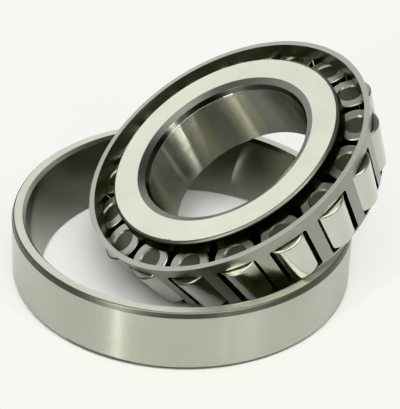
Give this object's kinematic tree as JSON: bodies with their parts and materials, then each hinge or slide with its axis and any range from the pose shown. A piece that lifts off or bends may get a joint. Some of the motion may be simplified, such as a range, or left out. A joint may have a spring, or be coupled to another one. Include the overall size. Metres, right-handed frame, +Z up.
{
  "type": "tapered roller bearing",
  "caption": "Single-row tapered roller bearing taken apart: the outer cup lies on its back face, and the caged assembly of inner ring and rollers leans in it.",
  "frame": {"origin": "centre of the cup's back face, on the surface that the bearing lies on", "axes": "+Z up, along the cup's axis towards its open large end; the cone assembly's axis lies in the XZ plane, tilted 29 degrees from +Z towards -X; +X is the side where the cone assembly stands over the cup's rim"},
  "size_m": [0.0872, 0.08, 0.0483],
  "materials": {
    "cup_steel": "ground bearing steel, satin outside, finer on the raceway",
    "ring_steel": "ground bearing steel, matt back face, fine bore",
    "cage_steel": "pressed steel sheet, satin",
    "roller_steel": "fine-ground bearing steel, bright satin"
  },
  "bodies": {
    "cup": {"cup": "cup_steel"},
    "cage": {"cage": "cage_steel"},
    "inner_ring": {"inner_ring": "ring_steel"},
    "roller_01": {"roller_01": "roller_steel"},
    "roller_02": {"roller_02": "roller_steel"},
    "roller_03": {"roller_03": "roller_steel"},
    "roller_04": {"roller_04": "roller_steel"},
    "roller_05": {"roller_05": "roller_steel"},
    "roller_06": {"roller_06": "roller_steel"},
    "roller_07": {"roller_07": "roller_steel"},
    "roller_08": {"roller_08": "roller_steel"},
    "roller_09": {"roller_09": "roller_steel"},
    "roller_10": {"roller_10": "roller_steel"},
    "roller_11": {"roller_11": "roller_steel"},
    "roller_12": {"roller_12": "roller_steel"},
    "roller_13": {"roller_13": "roller_steel"},
    "roller_14": {"roller_14": "roller_steel"},
    "roller_15": {"roller_15": "roller_steel"},
    "roller_16": {"roller_16": "roller_steel"},
    "roller_17": {"roller_17": "roller_steel"}
  },
  "joints": [
    {"name": "cone_lift", "type": "slide", "parent": "cup", "child": "cage", "axis": [0, 0, 1], "range_m": [0, 0.04]},
    {"name": "inner_ring_spin", "type": "hinge", "parent": "cage", "child": "inner_ring", "pos_m": [0.0095, 0, 0.03224], "axis": [-0.4848, 0, 0.8746], "continuous": true},
    {"name": "roller_01_spin", "type": "hinge", "parent": "cage", "child": "roller_01", "pos_m": [0.03909, -0.00225, 0.04349], "axis": [-0.2914, -0.015, 0.9565], "continuous": true},
    {"name": "roller_02_spin", "type": "hinge", "parent": "cage", "child": "roller_02", "pos_m": [0.03795, 0.00922, 0.04286], "axis": [-0.299, 0.0615, 0.9523], "continuous": true},
    {"name": "roller_03_spin", "type": "hinge", "parent": "cage", "child": "roller_03", "pos_m": [0.03326, 0.01945, 0.04026], "axis": [-0.3303, 0.1296, 0.9349], "continuous": true},
    {"name": "roller_04_spin", "type": "hinge", "parent": "cage", "child": "roller_04", "pos_m": [0.02566, 0.02705, 0.03605], "axis": [-0.3809, 0.1803, 0.9069], "continuous": true},
    {"name": "roller_05_spin", "type": "hinge", "parent": "cage", "child": "roller_05", "pos_m": [0.01617, 0.03099, 0.03079], "axis": [-0.4442, 0.2066, 0.8718], "continuous": true},
    {"name": "roller_06_spin", "type": "hinge", "parent": "cage", "child": "roller_06", "pos_m": [0.00607, 0.03075, 0.02519], "axis": [-0.5115, 0.205, 0.8345], "continuous": true},
    {"name": "roller_07_spin", "type": "hinge", "parent": "cage", "child": "roller_07", "pos_m": [-0.00327, 0.02636, 0.02002], "axis": [-0.5737, 0.1757, 0.8], "continuous": true},
    {"name": "roller_08_spin", "type": "hinge", "parent": "cage", "child": "roller_08", "pos_m": [-0.01059, 0.01841, 0.01596], "axis": [-0.6225, 0.1227, 0.773], "continuous": true},
    {"name": "roller_09_spin", "type": "hinge", "parent": "cage", "child": "roller_09", "pos_m": [-0.0149, 0.00797, 0.01357], "axis": [-0.6512, 0.0531, 0.757], "continuous": true},
    {"name": "roller_10_spin", "type": "hinge", "parent": "cage", "child": "roller_10", "pos_m": [-0.01562, -0.00355, 0.01317], "axis": [-0.656, -0.0237, 0.7544], "continuous": true},
    {"name": "roller_11_spin", "type": "hinge", "parent": "cage", "child": "roller_11", "pos_m": [-0.01265, -0.01459, 0.01481], "axis": [-0.6363, -0.0972, 0.7653], "continuous": true},
    {"name": "roller_12_spin", "type": "hinge", "parent": "cage", "child": "roller_12", "pos_m": [-0.0064, -0.02365, 0.01828], "axis": [-0.5946, -0.1576, 0.7884], "continuous": true},
    {"name": "roller_13_spin", "type": "hinge", "parent": "cage", "child": "roller_13", "pos_m": [0.00229, -0.02952, 0.0231], "axis": [-0.5366, -0.1968, 0.8205], "continuous": true},
    {"name": "roller_14_spin", "type": "hinge", "parent": "cage", "child": "roller_14", "pos_m": [0.01225, -0.03141, 0.02862], "axis": [-0.4702, -0.2093, 0.8573], "continuous": true},
    {"name": "roller_15_spin", "type": "hinge", "parent": "cage", "child": "roller_15", "pos_m": [0.02214, -0.02905, 0.0341], "axis": [-0.4044, -0.1936, 0.8939], "continuous": true},
    {"name": "roller_16_spin", "type": "hinge", "parent": "cage", "child": "roller_16", "pos_m": [0.03061, -0.02277, 0.0388], "axis": [-0.3479, -0.1518, 0.9252], "continuous": true},
    {"name": "roller_17_spin", "type": "hinge", "parent": "cage", "child": "roller_17", "pos_m": [0.03653, -0.01341, 0.04207], "axis": [-0.3085, -0.0894, 0.947], "continuous": true}
  ],
  "couplings": [
    {"joint": "roller_01_spin", "follows": "inner_ring_spin", "ratio": -5.1719},
    {"joint": "roller_02_spin", "follows": "inner_ring_spin", "ratio": -5.1719},
    {"joint": "roller_03_spin", "follows": "inner_ring_spin", "ratio": -5.1719},
    {"joint": "roller_04_spin", "follows": "inner_ring_spin", "ratio": -5.1719},
    {"joint": "roller_05_spin", "follows": "inner_ring_spin", "ratio": -5.1719},
    {"joint": "roller_06_spin", "follows": "inner_ring_spin", "ratio": -5.1719},
    {"joint": "roller_07_spin", "follows": "inner_ring_spin", "ratio": -5.1719},
    {"joint": "roller_08_spin", "follows": "inner_ring_spin", "ratio": -5.1719},
    {"joint": "roller_09_spin", "follows": "inner_ring_spin", "ratio": -5.1719},
    {"joint": "roller_10_spin", "follows": "inner_ring_spin", "ratio": -5.1719},
    {"joint": "roller_11_spin", "follows": "inner_ring_spin", "ratio": -5.1719},
    {"joint": "roller_12_spin", "follows": "inner_ring_spin", "ratio": -5.1719},
    {"joint": "roller_13_spin", "follows": "inner_ring_spin", "ratio": -5.1719},
    {"joint": "roller_14_spin", "follows": "inner_ring_spin", "ratio": -5.1719},
    {"joint": "roller_15_spin", "follows": "inner_ring_spin", "ratio": -5.1719},
    {"joint": "roller_16_spin", "follows": "inner_ring_spin", "ratio": -5.1719},
    {"joint": "roller_17_spin", "follows": "inner_ring_spin", "ratio": -5.1719}
  ]
}
